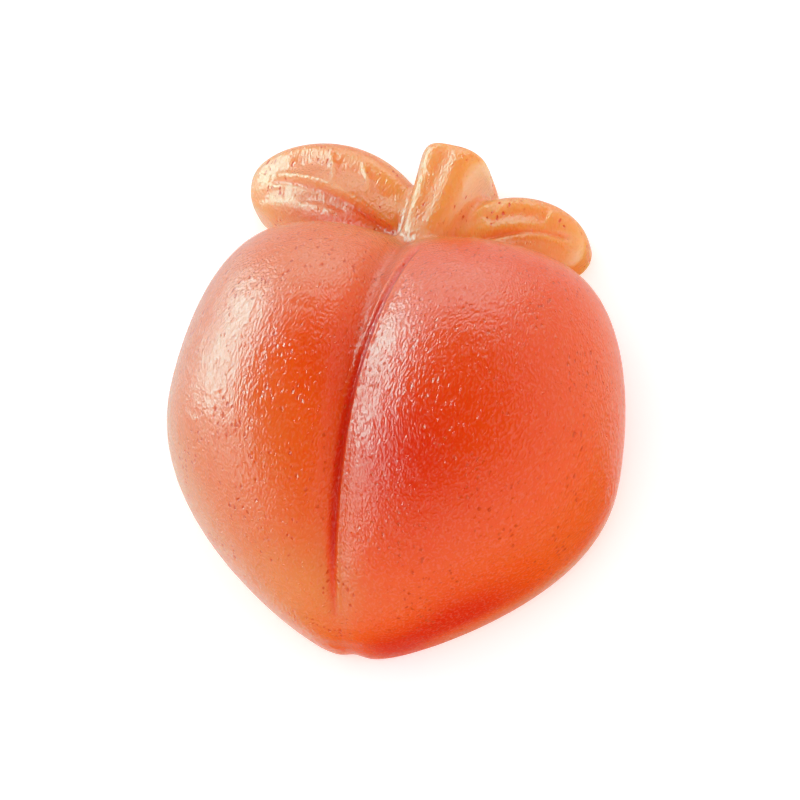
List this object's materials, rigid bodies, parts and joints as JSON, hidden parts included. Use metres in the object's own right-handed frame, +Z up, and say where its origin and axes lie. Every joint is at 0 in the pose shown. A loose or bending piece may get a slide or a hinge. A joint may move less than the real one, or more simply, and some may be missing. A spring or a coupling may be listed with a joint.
{
  "type": "peach fruit gummy",
  "caption": "Peach-shaped fruit gummy, a translucent orange moulded sweet with a creased body, a stem stub and leaves, lying on its flat back.",
  "frame": {"origin": "centre of the bounding box's underside, on the plane of the flat back that the gummy lies on", "axes": "+Z up out of the moulded face, +Y from the peach's tip to its stem, +X towards the right lobe"},
  "size_m": [0.0258, 0.0304, 0.0129],
  "materials": {
    "peach_gelatine": "satin, translucent orange-coral fruit jelly"
  },
  "bodies": {
    "root": {"gummy": "peach_gelatine"}
  },
  "joints": []
}
